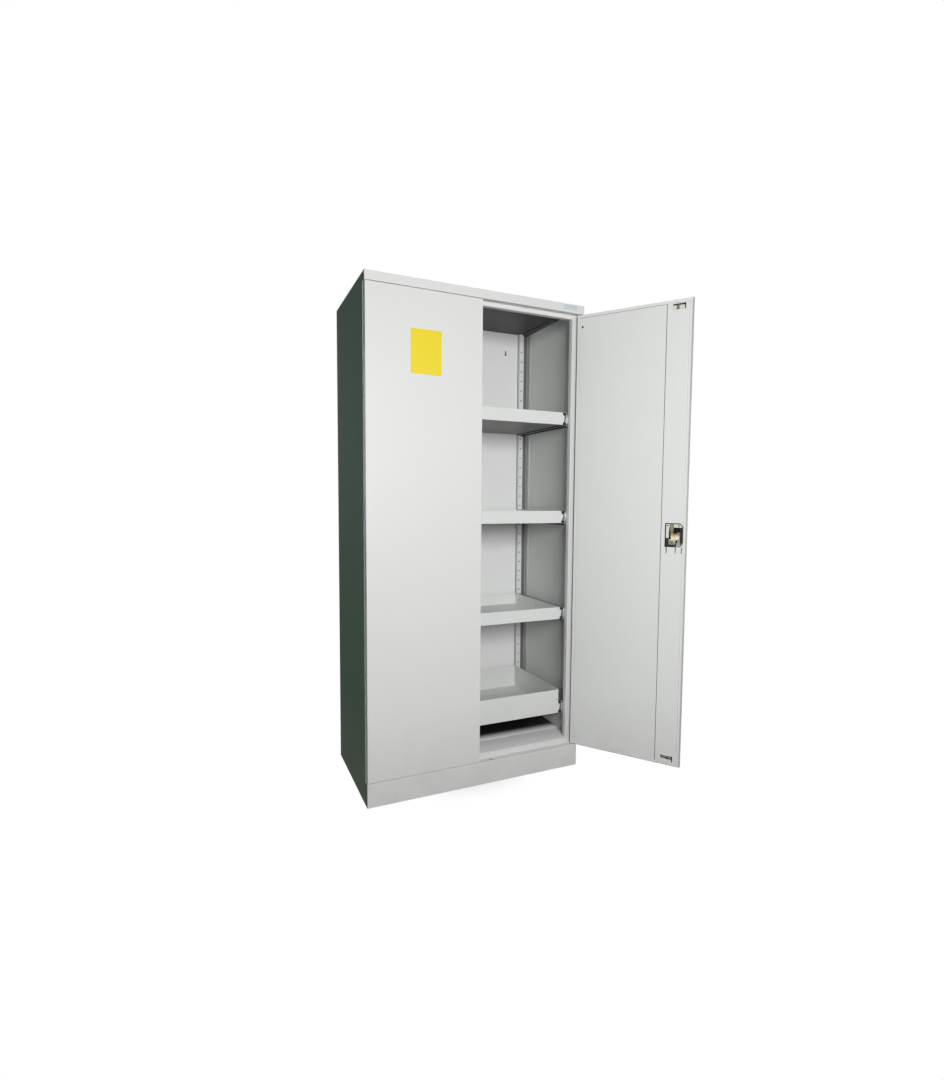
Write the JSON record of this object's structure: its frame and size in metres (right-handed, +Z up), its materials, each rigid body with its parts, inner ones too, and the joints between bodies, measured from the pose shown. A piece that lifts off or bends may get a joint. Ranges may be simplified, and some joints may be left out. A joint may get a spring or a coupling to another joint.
{
  "type": "flammable safety cabinet",
  "caption": "Tall steel safety cabinet with two hinged leaves, pull-out sump trays on ball slides, fixed trays and a two-bolt turning lock.",
  "frame": {"origin": "on the floor, under the middle of the carcass", "axes": "+X to the right as seen from the front, +Y to the back, +Z up"},
  "size_m": [1.1958, 0.8552, 1.95],
  "materials": {
    "side_paint": "semi-gloss powder coat, dark grey-green",
    "front_paint": "semi-gloss powder coat, light grey",
    "inner_paint": "semi-gloss powder coat, light grey",
    "zinc_steel": "bright zinc plated",
    "yellow_zinc": "olive passivated zinc",
    "brass": "satin",
    "black_plastic": "fine texture",
    "grey_plastic": "moulded, smooth",
    "chrome": "polished"
  },
  "bodies": {
    "cabinet": {"left_side_panel": "side_paint", "right_side_panel": "side_paint", "back_panel": "inner_paint", "top_panel": "front_paint", "floor_panel": "inner_paint", "front_plinth": "front_paint", "base_rails": "inner_paint", "left_jamb": "inner_paint", "right_jamb": "inner_paint", "left_rear_post": "inner_paint", "right_rear_post": "inner_paint", "central_partition": "inner_paint", "shelf_cleats": "inner_paint", "left_shelf_1": "inner_paint", "left_shelf_2": "inner_paint", "left_shelf_3": "inner_paint", "slide_brackets": "zinc_steel", "magnet_catches": "black_plastic", "hinge_pins": "zinc_steel", "slide_outer_1": "zinc_steel", "slide_outer_2": "zinc_steel", "slide_outer_3": "zinc_steel", "slide_outer_4": "zinc_steel"},
    "right_door": {"right_door_skin": "front_paint", "right_door_liner": "inner_paint", "lock_channel": "inner_paint", "right_hinge_bushes": "brass", "lock_case": "zinc_steel", "rod_guides": "grey_plastic", "handle_escutcheon": "black_plastic"},
    "left_door": {"left_door_skin": "front_paint", "left_door_liner": "inner_paint", "left_hinge_bushes": "brass"},
    "handle": {"lock_pinion": "brass", "door_handle": "black_plastic"},
    "upper_rod": {"upper_lock_rod": "yellow_zinc"},
    "lower_rod": {"lower_lock_rod": "zinc_steel"},
    "key_barrel": {"key_barrel": "chrome"},
    "tray_1": {"tray_1": "inner_paint", "slide_inner_1": "zinc_steel"},
    "slide_middle_1": {"slide_middle_1": "zinc_steel"},
    "cage_outer_1": {"cage_outer_1": "zinc_steel"},
    "cage_inner_1": {"cage_inner_1": "zinc_steel"},
    "tray_2": {"tray_2": "inner_paint", "slide_inner_2": "zinc_steel"},
    "slide_middle_2": {"slide_middle_2": "zinc_steel"},
    "cage_outer_2": {"cage_outer_2": "zinc_steel"},
    "cage_inner_2": {"cage_inner_2": "zinc_steel"},
    "tray_3": {"tray_3": "inner_paint", "slide_inner_3": "zinc_steel"},
    "slide_middle_3": {"slide_middle_3": "zinc_steel"},
    "cage_outer_3": {"cage_outer_3": "zinc_steel"},
    "cage_inner_3": {"cage_inner_3": "zinc_steel"},
    "tray_4": {"tray_4": "inner_paint", "slide_inner_4": "zinc_steel"},
    "slide_middle_4": {"slide_middle_4": "zinc_steel"},
    "cage_outer_4": {"cage_outer_4": "zinc_steel"},
    "cage_inner_4": {"cage_inner_4": "zinc_steel"}
  },
  "joints": [
    {"name": "right_door_hinge", "type": "hinge", "parent": "cabinet", "child": "right_door", "pos_m": [0.4495, -0.237, 1.005], "axis": [0, 0, 1], "range_deg": [-125.5, 9.5]},
    {"name": "left_door_hinge", "type": "hinge", "parent": "cabinet", "child": "left_door", "pos_m": [-0.4495, -0.237, 1.005], "axis": [0, 0, -1], "range_deg": [0, 135]},
    {"name": "handle_turn", "type": "hinge", "parent": "right_door", "child": "handle", "pos_m": [0.69527, -0.55917, 1.01], "axis": [0.8141, 0.5807, 0], "range_deg": [0, 90]},
    {"name": "upper_rod_slide", "type": "slide", "parent": "right_door", "child": "upper_rod", "axis": [0, 0, 1], "range_m": [0, 0.01099]},
    {"name": "lower_rod_slide", "type": "slide", "parent": "right_door", "child": "lower_rod", "axis": [0, 0, -1], "range_m": [0, 0.011]},
    {"name": "key_turn", "type": "hinge", "parent": "right_door", "child": "key_barrel", "pos_m": [0.69527, -0.55917, 0.95], "axis": [0.8141, 0.5807, 0], "range_deg": [0, 90]},
    {"name": "tray_1_slide", "type": "slide", "parent": "cabinet", "child": "tray_1", "axis": [0, -1, 0], "range_m": [0, 0.38]},
    {"name": "slide_middle_1_slide", "type": "slide", "parent": "cabinet", "child": "slide_middle_1", "axis": [0, -1, 0], "range_m": [0, 0.19]},
    {"name": "cage_outer_1_slide", "type": "slide", "parent": "cabinet", "child": "cage_outer_1", "axis": [0, -1, 0], "range_m": [0, 0.095]},
    {"name": "cage_inner_1_slide", "type": "slide", "parent": "cabinet", "child": "cage_inner_1", "axis": [0, -1, 0], "range_m": [0, 0.285]},
    {"name": "tray_2_slide", "type": "slide", "parent": "cabinet", "child": "tray_2", "axis": [0, -1, 0], "range_m": [0, 0.38]},
    {"name": "slide_middle_2_slide", "type": "slide", "parent": "cabinet", "child": "slide_middle_2", "axis": [0, -1, 0], "range_m": [0, 0.19]},
    {"name": "cage_outer_2_slide", "type": "slide", "parent": "cabinet", "child": "cage_outer_2", "axis": [0, -1, 0], "range_m": [0, 0.095]},
    {"name": "cage_inner_2_slide", "type": "slide", "parent": "cabinet", "child": "cage_inner_2", "axis": [0, -1, 0], "range_m": [0, 0.285]},
    {"name": "tray_3_slide", "type": "slide", "parent": "cabinet", "child": "tray_3", "axis": [0, -1, 0], "range_m": [0, 0.38]},
    {"name": "slide_middle_3_slide", "type": "slide", "parent": "cabinet", "child": "slide_middle_3", "axis": [0, -1, 0], "range_m": [0, 0.19]},
    {"name": "cage_outer_3_slide", "type": "slide", "parent": "cabinet", "child": "cage_outer_3", "axis": [0, -1, 0], "range_m": [0, 0.095]},
    {"name": "cage_inner_3_slide", "type": "slide", "parent": "cabinet", "child": "cage_inner_3", "axis": [0, -1, 0], "range_m": [0, 0.285]},
    {"name": "tray_4_slide", "type": "slide", "parent": "cabinet", "child": "tray_4", "axis": [0, -1, 0], "range_m": [0, 0.38]},
    {"name": "slide_middle_4_slide", "type": "slide", "parent": "cabinet", "child": "slide_middle_4", "axis": [0, -1, 0], "range_m": [0, 0.19]},
    {"name": "cage_outer_4_slide", "type": "slide", "parent": "cabinet", "child": "cage_outer_4", "axis": [0, -1, 0], "range_m": [0, 0.095]},
    {"name": "cage_inner_4_slide", "type": "slide", "parent": "cabinet", "child": "cage_inner_4", "axis": [0, -1, 0], "range_m": [0, 0.285]}
  ],
  "couplings": [
    {"joint": "handle_turn", "follows": "upper_rod_slide", "rad_per_m": 142.86},
    {"joint": "lower_rod_slide", "follows": "upper_rod_slide", "ratio": 1},
    {"joint": "slide_middle_1_slide", "follows": "tray_1_slide", "ratio": 0.5},
    {"joint": "cage_outer_1_slide", "follows": "tray_1_slide", "ratio": 0.25},
    {"joint": "cage_inner_1_slide", "follows": "tray_1_slide", "ratio": 0.75},
    {"joint": "slide_middle_2_slide", "follows": "tray_2_slide", "ratio": 0.5},
    {"joint": "cage_outer_2_slide", "follows": "tray_2_slide", "ratio": 0.25},
    {"joint": "cage_inner_2_slide", "follows": "tray_2_slide", "ratio": 0.75},
    {"joint": "slide_middle_3_slide", "follows": "tray_3_slide", "ratio": 0.5},
    {"joint": "cage_outer_3_slide", "follows": "tray_3_slide", "ratio": 0.25},
    {"joint": "cage_inner_3_slide", "follows": "tray_3_slide", "ratio": 0.75},
    {"joint": "slide_middle_4_slide", "follows": "tray_4_slide", "ratio": 0.5},
    {"joint": "cage_outer_4_slide", "follows": "tray_4_slide", "ratio": 0.25},
    {"joint": "cage_inner_4_slide", "follows": "tray_4_slide", "ratio": 0.75}
  ]
}
